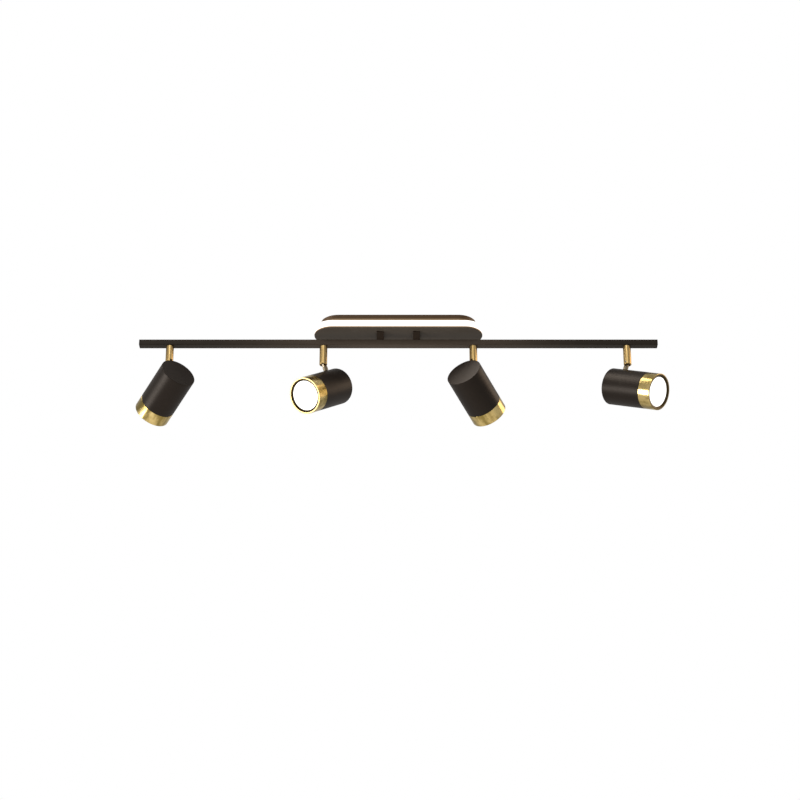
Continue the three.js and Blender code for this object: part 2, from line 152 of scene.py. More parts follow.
class Recipe:
    """One material's node tree, ending in a Principled shader."""

    def __init__(self, name: str) -> None:
        """Starts a material of that name."""
        self.material = bpy.data.materials.new(name)
        self.material.use_nodes = True
        self.tree = self.material.node_tree
        self.tree.nodes.clear()
        self.shader = self.node("ShaderNodeBsdfPrincipled", {}, {})
        out = self.tree.nodes.new("ShaderNodeOutputMaterial")
        self.tree.links.new(self.shader.outputs[0], out.inputs["Surface"])

    def node(
        self, kind: str, settings: dict[str, Any], sockets: dict[Any, Any]
    ) -> bpy.types.Node:
        """Adds a node.

        Args:
            kind: The node's type.
            settings: Its settings, which are set first.
            sockets: Values or links for its inputs.

        Returns:
            The node.
        """
        made = self.tree.nodes.new(kind)
        for name, value in settings.items():
            setattr(made, name, value)
        for key, value in sockets.items():
            self.put(made.inputs[key], value)
        return made

    def put(self, socket: bpy.types.NodeSocket, value: Any) -> None:
        """Links one input to a Signal or a socket, or sets it to a plain value."""
        if isinstance(value, Signal):
            value = value.socket
        if isinstance(value, bpy.types.NodeSocket):
            self.tree.links.new(value, socket)
        else:
            socket.default_value = value

    def place(self) -> bpy.types.NodeSocket:
        """Position on the object, in metres."""
        return self.node("ShaderNodeTexCoord", {}, {}).outputs["Object"]

    def own_place(self) -> tuple[Signal, Signal, Signal]:
        """Position in the piece's own frame, which new meshes carry as an attribute."""
        read = self.node("ShaderNodeAttribute", {"attribute_name": "own_place"}, {})
        split = self.node("ShaderNodeSeparateXYZ", {}, {"Vector": read.outputs["Vector"]})
        return tuple(Signal(self, out) for out in split.outputs)

    def vector(self, *parts: Number) -> bpy.types.NodeSocket:
        """Joins three numbers into a vector."""
        return self.node("ShaderNodeCombineXYZ", {}, dict(enumerate(parts))).outputs[0]

    def noise(
        self, size: float, where: Any = None, detail: float = 3.0, rough: float = 0.55
    ) -> Signal:
        """Soft random variation from 0 to 1.

        Args:
            size: Width of its larger blotches, in metres.
            where: Coordinates, or None for the position on the object.
            detail: Number of finer layers.
            rough: Share of each finer layer.

        Returns:
            The variation.
        """
        sockets = {
            "Vector": self.place() if where is None else where,
            "Scale": 1 / size,
            "Detail": detail,
            "Roughness": rough,
        }
        return Signal(self, self.node("ShaderNodeTexNoise", {}, sockets).outputs["Fac"])

    def mix(self, share: Signal, first: Any, second: Any) -> bpy.types.NodeSocket:
        """Blends two colours or colour sockets. A share of 0 gives the first."""
        node = self.tree.nodes.new("ShaderNodeMix")
        node.data_type = "RGBA"
        self.put(node.inputs[0], share)
        for socket, colour in ((node.inputs[6], first), (node.inputs[7], second)):
            self.put(socket, (*colour, 1) if isinstance(colour, tuple) else colour)
        return node.outputs[2]

    def bump(self, height: Signal, depth: float, strength: float) -> bpy.types.NodeSocket:
        """Turns a height from 0 to 1 into a shading normal, for a relief of that depth."""
        sockets = {"Height": height, "Distance": depth, "Strength": strength}
        return self.node("ShaderNodeBump", {}, sockets).outputs["Normal"]

    def finish(self, **sockets: Any) -> bpy.types.Material:
        """Sets the shader's inputs, named with _ for a space, and returns the material."""
        for name, value in sockets.items():
            words = name.replace("_", " ")
            if isinstance(value, tuple) and len(value) == 3:
                value = (*value, 1)
            self.put(self.shader.inputs[words], value)
        return self.material


@dataclass(frozen=True)
class Paint:
    """Sprayed satin paint with a faint orange-peel texture and handling marks.

    Attributes:
        name: Name of the material.
        deep: Colour where the coat is thick.
        worn: Colour where it has been rubbed.
        roughness: Mean roughness.
        gloss: Strength of the coat's reflections.
        sheen: Tint of the coat's reflections.
        lit: Heights at which an edge's painted light from the lit band starts and is full, in the row frame, and
            its colour.
        band_glow: Distances from the middle, along X, at which the painted glow of the lit band
        on the paint has ended and is full, and its colour.
    """

    name: str
    deep: Colour
    worn: Colour
    roughness: float = 0.42
    gloss: float = 0.26
    sheen: Colour = (1.0, 0.86, 0.74)
    lit: Optional[tuple[float, float, Colour]] = None
    band_glow: Optional[tuple[float, float, Colour]] = None

    def material(self) -> bpy.types.Material:
        """Writes the paint's material."""
        recipe = Recipe(self.name)
        cloud = recipe.noise(34 * MM, detail=4)
        peel = recipe.noise(0.9 * MM, detail=2)
        grain = recipe.noise(0.22 * MM, detail=1)
        rubbed = recipe.noise(9 * MM, detail=6, rough=0.7).over(0.5, 0.72)
        share = (cloud * 0.55 + grain * 0.2 + rubbed * 0.25).over(0.2, 0.85)
        colour = recipe.mix(share, self.deep, self.worn)
        # Painted light: the lit band's light on an edge, painted as a lighter colour by height.
        if self.lit:
            start, full, edge = self.lit
            colour = recipe.mix(recipe.own_place()[2].over(start, full), colour, edge)
        # Painted light: the lit band's glow, painted as a warmer colour on the middle of the bar.
        if self.band_glow:
            end, full, glow = self.band_glow
            along = recipe.own_place()[0]
            colour = recipe.mix(((along * along) ** 0.5).over(end, full), colour, glow)
        return recipe.finish(
            Base_Color=colour,
            Roughness=self.roughness + 0.1 * (cloud - 0.5) + 0.06 * rubbed,
            Specular_IOR_Level=self.gloss,
            Specular_Tint=self.sheen,
            Normal=recipe.bump(peel * 0.75 + grain * 0.25, 0.05 * MM, 0.35),
        )


@dataclass(frozen=True)
class TurnedMetal:
    """Lacquered metal with fine marks left round it by the lathe.

    Attributes:
        name: Name of the material.
        bright: Colour of the polished metal.
        tarnish_and_reflection: Colour where it has tarnished under the lacquer, and of the painted dark reflection
            streaks along its axis.
        roughness: Mean roughness.
        marks: Depth of the turning marks, in metres.
        axis: The piece's own axis that it was turned about.
        lip: Radius inside which a ring's face has a darker painted shade.
        bore: Radius inside which a ring has a near-black painted shade, or 0 for a piece that isn't a ring.
        dull_and_shade: Colour of the face's painted shade.
        black: Colour of the mouth's painted shade.
    """

    name: str
    bright: Colour
    tarnish_and_reflection: Colour
    roughness: float = 0.24
    marks: float = 0.005 * MM
    axis: Axis = Axis.X
    lip: float = 0.0
    bore: float = 0.0
    dull_and_shade: Colour = (0.34, 0.235, 0.085)
    black: Colour = (0.05, 0.034, 0.01)

    def material(self) -> bpy.types.Material:
        """Writes the metal's material, with its marks round the axis of turning."""
        recipe = Recipe(self.name)
        x, y, z = recipe.own_place()
        if self.axis is Axis.Z:
            x, y, z = z, x, y
        turn = z.angle(y) * (2.4 * MM)
        lines = recipe.noise(0.16 * MM, recipe.vector(x, turn * 0.25, 0.0), detail=3)
        bands = recipe.noise(1.6 * MM, recipe.vector(x, turn, 0.0), detail=4)
        streak = recipe.noise(1.6 * MM, recipe.vector(x * 0.04, turn, 0.0), 3)
        cloud = recipe.noise(14 * MM, detail=5, rough=0.6)
        # Painted reflection: streaks of the darker colour run along the axis and stand in for reflection bands,
        # over a little real tarnish.
        share = (cloud * 0.08 + bands * 0.07 + streak * 0.85).over(0.42, 0.62)
        colour = recipe.mix(share, self.bright, self.tarnish_and_reflection)
        roughness = self.roughness + 0.1 * (streak - 0.5) + 0.08 * (lines - 0.5)
        # Painted shade in a ring's mouth: the face inside the lip is painted darker, and the bore round the lens
        # near black.
        if self.bore:
            radius = (y * y + z * z) ** 0.5
            soft = 0.1 * MM
            shaded_face = radius.over(self.lip + soft, self.lip - soft)
            colour = recipe.mix(shaded_face, colour, self.dull_and_shade)
            inside = radius.over(self.bore + soft, self.bore - soft)
            colour = recipe.mix(inside, colour, self.black)
            roughness = roughness + 0.3 * inside
        return recipe.finish(
            Base_Color=colour,
            Metallic=1.0,
            Roughness=roughness,
            Coat_Weight=0.18 + 0.1 * cloud,
            Coat_Roughness=0.12,
            Normal=recipe.bump(lines * 0.7 + bands * 0.3, self.marks, 0.5),
        )


@dataclass(frozen=True)
class PlainMetal:
    """Cast, rolled or plated metal with a fine matt grain.

    Attributes:
        name: Name of the material.
        bright: Colour of the clean metal.
        dull_and_shade: Colour of its duller patches.
        roughness: Mean roughness.
        grain: Width of the grain, in metres.
    """

    name: str
    bright: Colour
    dull_and_shade: Colour
    roughness: float = 0.38
    grain: float = 0.5 * MM

    def material(self) -> bpy.types.Material:
        """Writes the metal's material."""
        recipe = Recipe(self.name)
        patches = recipe.noise(6 * MM, detail=5)
        grain = recipe.noise(self.grain, detail=2)
        return recipe.finish(
            Base_Color=recipe.mix(patches.over(0.3, 0.7), self.bright, self.dull_and_shade),
            Metallic=1.0,
            Roughness=self.roughness + 0.14 * (grain - 0.5) + 0.1 * (patches - 0.5),
            Normal=recipe.bump(grain, 0.02 * MM, 0.4),
        )


@dataclass(frozen=True)
class Opal:
    """A lit diffuser: milky plastic with a matt face that glows evenly.

    Attributes:
        name: Name of the material.
        glow: Colour of the light.
        strength: Strength of the light.
    """

    name: str
    glow: Colour
    strength: float

    def material(self) -> bpy.types.Material:
        """Writes the diffuser's material."""
        recipe = Recipe(self.name)
        frost = recipe.noise(0.35 * MM, detail=2)
        cloud = recipe.noise(12 * MM, detail=2)
        shade = tuple(0.97 * part for part in self.glow)
        return recipe.finish(
            Base_Color=recipe.mix(cloud, (0.9, 0.9, 0.88), (0.84, 0.84, 0.82)),
            Roughness=0.5 + 0.12 * (frost - 0.5),
            Emission_Color=recipe.mix(cloud.over(0.3, 0.7), self.glow, shade),
            Emission_Strength=self.strength,
            Normal=recipe.bump(frost, 0.02 * MM, 0.3),
        )


@dataclass(frozen=True)
class Moulding:
    """Moulded plastic with a spark-eroded grain.

    Attributes:
        name: Name of the material.
        colour: Colour of the plastic.
        soiled: Colour of its handled patches.
        roughness: Mean roughness.
    """

    name: str
    colour: Colour
    soiled: Colour
    roughness: float = 0.5

    def material(self) -> bpy.types.Material:
        """Writes the plastic's material."""
        recipe = Recipe(self.name)
        grain = recipe.noise(0.3 * MM, detail=2)
        cloud = recipe.noise(16 * MM, detail=4)
        return recipe.finish(
            Base_Color=recipe.mix(cloud.over(0.35, 0.75), self.colour, self.soiled),
            Roughness=self.roughness + 0.1 * (grain - 0.5),
            Normal=recipe.bump(grain, 0.03 * MM, 0.4),
        )


FINISHES: dict[Slot, Any] = {
    Slot.BRONZE: Paint(
        "bronze_paint",
        (0.075, 0.042, 0.019),
        (0.12, 0.072, 0.036),
        0.42,
        # Painted light: the pan's lower edge takes a tan colour for the lit band's light on it.
        lit=(-5.6 * MM, -9.6 * MM, (0.46, 0.33, 0.2)),
    ),
    # Painted light: the plate's colours are painted lighter to stand in for light from below, and its rim takes a
    # tan colour for the lit band's light.
    Slot.PLATE: Paint(
        "plate_paint",
        (0.092, 0.077, 0.061),
        (0.122, 0.106, 0.088),
        0.44,
        lit=(-22.1 * MM, -20.6 * MM, (0.56, 0.36, 0.19)),
    ),
    Slot.BAR: Paint(
        "bar_paint",
        (0.013, 0.0103, 0.0078),
        (0.027, 0.022, 0.017),
        0.44,
        # Painted light: the band's glow on the middle of the bar.
        band_glow=(300 * MM, 60 * MM, (0.07, 0.053, 0.04)),
    ),
    Slot.SADDLE: Paint("saddle_paint", (0.016, 0.0095, 0.0055), (0.026, 0.016, 0.009), 0.5),
    Slot.HOUSING: Paint(
        "housing_paint", (0.009, 0.0064, 0.0052), (0.0165, 0.012, 0.0095), 0.4
    ),
    Slot.STEM: TurnedMetal(
        "stem_brass", (0.72, 0.51, 0.21), (0.5, 0.34, 0.125), 0.28, 0.004 * MM, Axis.Z
    ),
    Slot.NECK: TurnedMetal(
        "neck_brass", (0.3, 0.25, 0.17), (0.2, 0.16, 0.1), 0.4, 0.004 * MM, Axis.Z
    ),
    Slot.RING: TurnedMetal(
        "ring_brass",
        (0.86, 0.67, 0.28),
        (0.33, 0.245, 0.065),
        0.18,
        # Painted shade: inside these radii the ring's mouth is painted darker, then near black.
        lip=27.5 * MM,
        bore=25.9 * MM,
    ),
    Slot.LENS: Opal("lit_lens", (1.0, 0.985, 0.955), 1.15),
    Slot.BAND: Opal("lit_band", (1.0, 0.985, 0.95), 1.1),
    Slot.STRIP: Moulding("strip_tape", (0.78, 0.76, 0.68), (0.66, 0.63, 0.52), 0.45),
    Slot.STEEL: PlainMetal("plated_steel", (0.55, 0.56, 0.57), (0.4, 0.4, 0.4), 0.35),
    Slot.ALUMINIUM: PlainMetal(
        "cast_aluminium", (0.72, 0.73, 0.74), (0.56, 0.57, 0.58), 0.45, 0.9 * MM
    ),
    Slot.PLASTIC: Moulding("pale_plastic", (0.75, 0.74, 0.69), (0.62, 0.6, 0.53)),
}


class Workshop:
    """Keeps one material for each slot."""

    def __init__(self) -> None:
        """Starts with nothing mixed."""
        self.mixed: dict[Slot, bpy.types.Material] = {}

    def material(self, slot: Slot) -> bpy.types.Material:
        """The slot's material, written when it is first asked for."""
        if slot not in self.mixed:
            self.mixed[slot] = FINISHES[slot].material()
        return self.mixed[slot]


# Outlines


def fillet(corners: Sequence[Corner], closed: bool = True, steps: int = 5) -> Loop:
    """Rounds the corners of an outline.

    Args:
        corners: Each corner's two coordinates and its radius.
        closed: Whether the last corner joins the first.
        steps: Facets in each rounding.

    Returns:
        The outline's points.
    """
    points: Loop = []
    count = len(corners)
    for index, (a, b, radius) in enumerate(corners):
        inner = closed or 0 < index < count - 1
        if radius <= 0 or not inner:
            points.append((a, b))
            continue
        here = Vector((a, b))
        back = (Vector(corners[index - 1][:2]) - here).normalized()
        ahead = (Vector(corners[(index + 1) % count][:2]) - here).normalized()
        half = back.angle(ahead) / 2
        centre = here + (back + ahead).normalized() * (radius / math.sin(half))
        start = here + back * (radius / math.tan(half)) - centre
        end = here + ahead * (radius / math.tan(half)) - centre
        sweep = start.angle_signed(end)
        for step in range(steps + 1):
            turn = Matrix.Rotation(-sweep * step / steps, 2)
            at = centre + turn @ start
            points.append((at.x, at.y))
    return points


def supported(profile: Loop, closed: bool) -> Loop:
    """Adds a point just inside each end of every long stretch of an outline."""
    made: Loop = []
    count = len(profile)
    for index, point in enumerate(profile):
        made.append(point)
        if index == count - 1 and not closed:
            break
        a, b = Vector(point), Vector(profile[(index + 1) % count])
        length = (b - a).length
        if length > 4 * SUPPORT:
            for at in (SUPPORT, length - SUPPORT):
                between = a.lerp(b, at / length)
                made.append((between.x, between.y))
    return made


def circle(x: float, y: float, radius: float, points: int = 40) -> Loop:
    """A round outline, anticlockwise."""
    turns = [2 * math.pi * step / points for step in range(points)]
    return [(x + radius * math.cos(t), y + radius * math.sin(t)) for t in turns]


def stadium(length: float, width: float, points: int = 40) -> Loop:
    """An outline with round ends, anticlockwise, with that many facets in each end."""
    radius, straight = width / 2, (length - width) / 2
    outline: Loop = []
    for side, start in ((1, -math.pi / 2), (-1, math.pi / 2)):
        for step in range(points + 1):
            turn = start + math.pi * step / points
            at = (radius * math.cos(turn), radius * math.sin(turn))
            outline.append((side * straight + at[0], at[1]))
    return outline


def rectangle(width: float, height: float, radius: float) -> Loop:
    """An outline with rounded corners, anticlockwise."""
    a, b = width / 2, height / 2
    return fillet([(a, -b, radius), (a, b, radius), (-a, b, radius), (-a, -b, radius)])


def inset(loop: Loop, distance: float) -> Loop:
    """Moves a smooth outline towards the side on its left, point by point."""
    made: Loop = []
    for index, (a, b) in enumerate(loop):
        before, after = loop[index - 1], loop[(index + 1) % len(loop)]
        ahead = Vector((after[0] - before[0], after[1] - before[1])).normalized()
        made.append((a - ahead.y * distance, b + ahead.x * distance))
    return made


# Mesh building


class Blank:
    """A piece's mesh while it is being made, in the piece's own frame."""

    def __init__(self) -> None:
        """Starts empty."""
        self.mesh = bpy.data.meshes.new("blank")

    def _store(self, shape: bmesh.types.BMesh, axis: Axis) -> "Blank":
        """Takes over a bmesh that was made along Z, and turns it to run along the axis."""
        bmesh.ops.remove_doubles(shape, verts=shape.verts, dist=1e-8)
        bmesh.ops.recalc_face_normals(shape, faces=shape.faces)
        shape.transform(axis.value)
        shape.to_mesh(self.mesh)
        shape.free()
        return self

    @classmethod
    def turned(
        cls, corners: Sequence[Corner], axis: Axis = Axis.Z, facets: int = 96
    ) -> "Blank":
        """Turns a profile about the axis.

        Args:
            corners: Radius, height and rounding of each corner. A profile whose first corner is
                off the axis closes on itself.
            axis: The axis of turning.
            facets: Facets round the axis.

        Returns:
            The blank.
        """
        closed = corners[0][0] > 0
        profile = supported(fillet(corners, closed), closed)
        shape = bmesh.new()
        rings = []
        for radius, height in profile:
            if radius < 1e-9:
                rings.append([shape.verts.new((0, 0, height))] * facets)
                continue
            rim = circle(0, 0, radius, facets)
            rings.append([shape.verts.new((a, b, height)) for a, b in rim])
        pairs = list(zip(rings, rings[1:])) + ([(rings[-1], rings[0])] if closed else [])
        for low, high in pairs:
            for step in range(facets):
                after = (step + 1) % facets
                quad = [low[step], low[after], high[after], high[step]]
                corner_set = list(dict.fromkeys(quad))
                if len(corner_set) > 2:
                    shape.faces.new(corner_set)
        return cls()._store(shape, axis)

    @classmethod
    def rod(
        cls,
        radius: float,
        low: float,
        high: float,
        axis: Axis = Axis.Z,
        facets: int = 32,
        edge: float = 0.0,
    ) -> "Blank":
        """Makes a plain round rod from low to high on its axis, as a piece or as a drill."""
        ends = [(0, low, 0), (radius, low, edge), (radius, high, edge), (0, high, 0)]
        return cls.turned(ends, axis, facets)

    @classmethod
    def extruded(
        cls,
        outer: Loop,
        low: float,
        high: float,
        edge: float,
        holes: Sequence[Loop] = (),
        axis: Axis = Axis.Z,
    ) -> "Blank":
        """Extrudes an outline with rounded edges.

        Args:
            outer: The outline, anticlockwise.
            low: Height of the lower face.
            high: Height of the upper face.
            edge: Radius of the edges.
            holes: Outlines of through holes, anticlockwise.
            axis: The way it runs.

        Returns:
            The blank.
        """
        loops = [outer] + [list(reversed(hole)) for hole in holes]
        levels = [(edge + SUPPORT, low)]
        for step in range(5):
            turn = math.pi / 2 * step / 4
            levels.append((edge * (1 - math.sin(turn)), low + edge * (1 - math.cos(turn))))
        levels.append((0.0, low + edge + SUPPORT))
        levels += [(back, low + high - height) for back, height in reversed(levels)]
        shape = bmesh.new()
        rims: dict[int, list[list[bmesh.types.BMVert]]] = {0: [], -1: []}
        for loop in loops:
            rings = [
                [shape.verts.new((a, b, height)) for a, b in inset(loop, back)]
                for back, height in levels
            ]
            for end in rims:
                rims[end].append(rings[end])
            for below, above in zip(rings, rings[1:]):
                for step in range(len(loop)):
                    after = (step + 1) % len(loop)
                    shape.faces.new([below[step], below[after], above[after], above[step]])
        for ends in rims.values():
            flat = [vert for ring in ends for vert in ring]
            for triangle in tessellate_polygon([[v.co for v in ring] for ring in ends]):
                shape.faces.new([flat[index] for index in triangle])
        return cls()._store(shape, axis)

    def moved(self, x: float, y: float, z: float) -> "Blank":
        """Moves the blank in its own frame."""
        self.mesh.transform(Matrix.Translation((x, y, z)))
        return self

    def rotated(self, turn: Matrix) -> "Blank":
        """Turns the blank in its own frame."""
        self.mesh.transform(turn)
        return self

    def joined(self, other: "Blank") -> "Blank":
        """Adds another blank's mesh to this one, as it lies."""
        shape = bmesh.new()
        shape.from_mesh(self.mesh)
        shape.from_mesh(other.mesh)
        shape.to_mesh(self.mesh)
        shape.free()
        return self

    def combined(self, other: "Blank", operation: str) -> "Blank":
        """Cuts another blank away (DIFFERENCE) or welds it on (UNION)."""
        work = bpy.data.objects.new("work", self.mesh)
        tool = bpy.data.objects.new("tool", other.mesh)
        for made in (work, tool):
            bpy.context.scene.collection.objects.link(made)
        step = work.modifiers.new("step", "BOOLEAN")
        step.operation, step.object, step.solver = operation, tool, "EXACT"
        graph = bpy.context.evaluated_depsgraph_get()
        self.mesh = bpy.data.meshes.new_from_object(work.evaluated_get(graph))
        for made in (work, tool):
            bpy.data.objects.remove(made)
        return self

    def cut(self, tool: "Blank") -> "Blank":
        """Cuts the tool's shape away."""
        return self.combined(tool, "DIFFERENCE")

    def welded(self, other: "Blank") -> "Blank":
        """Joins another blank on."""
        return self.combined(other, "UNION")


@dataclass
class Fitter:
    """Sets finished pieces into the frame.

    Attributes:
        workshop: Where the materials come from.
        count: How many pieces it has set.
    """

    workshop: Workshop
    count: int = 0

    def fit(
        self,
        name: str,
        blank: Blank,
        place: Matrix,
        body: str,
        slot: Slot,
        nodes: Sequence[str],
    ) -> bpy.types.Object:
        """Turns a blank into a piece of the object.

        Args:
            name: The piece's name.
            blank: Its mesh in its own frame.
            place: From its own frame to the row frame.
            body: The CAD body that it rides on.
            slot: Its material slot.
            nodes: The CAD nodes that it stands for.

        Returns:
            The piece.
        """
        mesh = blank.mesh
        mesh.name = name
        own = mesh.attributes.new("own_place", "FLOAT_VECTOR", "POINT")
        spots = [part for vertex in mesh.vertices for part in vertex.co]
        own.data.foreach_set("vector", spots)
        mesh.transform(place)
        mesh.shade_smooth()
        mesh.set_sharp_from_angle(angle=SMOOTH)
        mesh.materials.clear()
        mesh.materials.append(self.workshop.material(slot))
        piece = bpy.data.objects.new(name, mesh)
        bpy.context.scene.collection.objects.link(piece)
        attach(piece, body)
        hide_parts(*nodes)
        self.count += 1
        LOG.info("%s: %d faces", name, len(mesh.polygons))
        return piece

    def dress(self, node: str) -> None:
        """Gives a carried-over CAD node its slot's material."""
        entry = next(s for s in frame["record"]["subparts"] if s["node"] == node)
        mesh = frame["nodes"][node].data
        mesh.materials.clear()
        mesh.materials.append(self.workshop.material(Slot(entry["material_slot"])))
        LOG.info("%s: dressed", node)


@dataclass(frozen=True)
class Extent:
    """The box of a CAD node in some frame.

    Attributes:
        low: Lowest corner.
        high: Highest corner.
    """

    low: Vector
    high: Vector

    @classmethod
    def of(cls, node: str, place: Matrix = ROW) -> "Extent":
        """Measures a CAD node in the frame that has that place in the row frame."""
        back = place.inverted()
        spots = [back @ vertex.co for vertex in frame["nodes"][node].data.vertices]
        low = Vector(min(spot[k] for spot in spots) for k in range(3))
        high = Vector(max(spot[k] for spot in spots) for k in range(3))
        return cls(low, high)

    @property
    def size(self) -> Vector:
        """Its three sides."""
        return self.high - self.low

    @property
    def centre(self) -> Vector:
        """Its middle."""
        return (self.high + self.low) / 2


def saddle_places() -> list[float]:
    """Where the two saddles stand along the bar."""
    return [Extent.of("saddle_bracket_" + hand).centre.x for hand, _ in HANDS]


def facing(side: int, height: float) -> Matrix:
    """The place, at one end of the fixture, of a piece that is built facing right."""
    turn = Matrix.Identity(4) if side > 0 else Matrix.Rotation(math.pi, 4, "Z")
    return Matrix.Translation((0, 0, height)) @ turn


# The fixture


@dataclass
class Fixed:
    """Pieces that stay with the ceiling.

    Attributes:
        fitter: Sets the pieces.
    """

    fitter: Fitter

    def put(
        self, name: str, blank: Blank, slot: Slot, node: str, place: Matrix = ROW
    ) -> None:
        """Fits one fixed piece, which stands for one CAD node."""
        self.fitter.fit(name, blank, place, "fixture", slot, [node])


@dataclass
class Canopy(Fixed):
    """The pan on the ceiling, the lit band and the plate under it.

    Attributes:
        sheet: Thickness of the pan's steel.
        band_wall: Thickness of the band's wall.
        ledge: Width of the band's flange and of the sheet round its opening.
        cable: Place along X, and radius, of the supply cable's hole.
        fixing: The same of the right ceiling screw's hole.
    """

    sheet: float = 1.2 * MM
    band_wall: float = 2 * MM
    ledge: float = 10 * MM
    cable: Point = (-44 * MM, 9 * MM)
    fixing: Point = (80 * MM, 2.5 * MM)

    def pan(self) -> None:
        """Builds the pan: a lid with its cable and screw holes, and a wall with a soft edge."""
        box = Extent.of("ceiling_pan")
        length, width, height = box.size
        outline = stadium(length, width)
        inside = stadium(length - 2 * self.sheet, width - 2 * self.sheet)
        (cable_x, cable), (fixing_x, fixing) = self.cable, self.fixing
        holes = [circle(cable_x, 0, cable)]
        holes += [circle(side * fixing_x, 0, fixing, 24) for _, side in HANDS]
        lid = Blank.extruded(outline, -self.sheet, 0, 0.25 * MM, holes)
        wall = Blank.extruded(outline, -height, -self.sheet, 0.35 * MM, [inside])
        hole = Blank.rod(2.05 * MM, -length, length, Axis.X, 24)
        wall.cut(hole.moved(0, 0, Extent.of("canopy_screw_left").centre.z))
        self.put("canopy_pan", lid.joined(wall), Slot.BRONZE, "ceiling_pan")

    def band(self) -> None:
        """Builds the lit band with its flange."""
        box = Extent.of("diffuser_band")
        length, width, _ = box.size
        pan = Extent.of("ceiling_pan").size
        outline = stadium(length, width)
        inside = stadium(length - 2 * self.band_wall, width - 2 * self.band_wall)
        opening = stadium(pan.x - 2 * self.ledge, pan.y - 2 * self.ledge)
        top = box.high.z - self.band_wall
        wall = Blank.extruded(outline, box.low.z, top, 0.2 * MM, [inside])
        flange = Blank.extruded(outline, top, box.high.z, 0.5 * MM, [opening])
        self.put("lit_band", wall.joined(flange), Slot.BAND, "diffuser_band")

    def plate(self) -> None:
        """Builds the plate with its rolled rim."""
        box = Extent.of("lower_plate")
        outline = stadium(box.size.x, box.size.y)
        bores = [circle(x, 0, BORE, 24) for x in saddle_places()]
        plate = Blank.extruded(outline, box.low.z, box.high.z, 0.6 * MM, bores)
        self.put("canopy_plate", plate, Slot.PLATE, "lower_plate")

    def screws(self) -> None:
        """Builds the side screws with domed, slotted heads."""
        for hand, side in HANDS:
            node = "canopy_screw_" + hand
            box = Extent.of(node)
            tip, crown = (box.low.x, box.high.x) if side > 0 else (-box.high.x, -box.low.x)
            seat = crown - 1.9 * MM
            shank, head = 1.9 * MM, box.size.y / 2
            corners = [
                (0, tip, 0),
                (shank, tip, 0.4 * MM),
                (shank, seat, 0),
                (head, seat, 0.15 * MM),
                (0.78 * head, crown, 0.6 * MM),
                (0, crown, 0),
            ]
            screw = Blank.turned(corners, Axis.X, 48)
            groove = rectangle(2 * head + 2 * MM, 0.7 * MM, 0.3 * MM)
            slot = Blank.extruded(groove, -MM, MM, 0, (), Axis.X)
            screw.cut(slot.moved(crown, 0, 0))
            place = facing(side, box.centre.z)
            self.put("side_screw_" + hand, screw, Slot.STEEL, node, place)

    def build(self) -> None:
        """Builds the canopy's visible pieces."""
        self.pan()
        self.band()
        self.plate()
        self.screws()


@dataclass
class Bar(Fixed):
    """The long bar, its end caps and the two saddles that carry it.

    Attributes:
        sheet: Wall of the tube.
        corner: Radius of the tube's corners.
        plug: Length of the end caps' plugs.
    """

    sheet: float = 1.2 * MM
    corner: float = 0.9 * MM
    plug: float = 8 * MM

    def tube(self) -> None:
        """Builds the tube with its rounded corners and the holes for stems and saddles."""
        box = Extent.of("bar")
        # The extrusion's first coordinate becomes Y and its second Z.
        outline = rectangle(box.size.y, box.size.z, self.corner)
        inside = rectangle(box.size.y - 2 * self.sheet, box.size.z - 2 * self.sheet, 0.3 * MM)
        tube = Blank.extruded(outline, box.low.x, box.high.x, 0.1 * MM, [inside], Axis.X)
        tube.moved(0, 0, box.centre.z)
        for joint in frame["joints"]:
            if joint["name"].startswith("pan_"):
                tube.cut(self.drill(joint["pos_m"][0], box.low.z))
        for x in saddle_places():
            tube.cut(self.drill(x, box.high.z))
        self.put("bar_tube", tube, Slot.BAR, "bar")

    def drill(self, x: float, z: float) -> Blank:
        """A drill for the tube's wall whose outside is at height z."""
        return Blank.rod(BORE, -2 * MM, 2 * MM).moved(x, 0, z)

    def end_caps(self) -> None:
        """Builds the end caps with a soft outer edge and a plug in the tube."""
        inner = Extent.of("bar").high.x
        for hand, side in HANDS:
            node = "bar_end_cap_" + hand
            box = Extent.of(node)
            outer = box.size.x + inner - self.plug
            face = rectangle(box.size.y, box.size.z, self.corner)
            plate = Blank.extruded(face, inner, outer, 0.5 * MM, (), Axis.X)
            gap = 2 * (self.sheet + 0.15 * MM)
            core = rectangle(box.size.y - gap, box.size.z - gap, 0.7 * MM)
            plug = Blank.extruded(
                core, inner - self.plug, inner + MM, 0.3 * MM, (), Axis.X
            )
            place = facing(side, box.centre.z)
            self.put("end_cap_" + hand, plate.welded(plug), Slot.BAR, node, place)

    def saddles(self) -> None:
        """Builds the two tapered saddles."""
        width, edge = Extent.of("bar").size.y / 2, 0.8 * MM
        for hand, _ in HANDS:
            node = "saddle_bracket_" + hand
            box = Extent.of(node)
            half, low, high = box.size.y / 2, box.low.z, box.high.z
            corners = [(-width, low), (width, low), (half, high), (-half, high)]
            outline = fillet([(*corner, edge) for corner in corners])
            reach = box.size.x / 2
            saddle = Blank.extruded(outline, -reach, reach, 0.4 * MM, (), Axis.X)
            place = Matrix.Translation((box.centre.x, 0, 0))
            self.put("saddle_" + hand, saddle, Slot.SADDLE, node, place)

    def build(self) -> None:
        """Builds the bar and what holds it."""
        self.tube()
        self.end_caps()
        self.saddles()


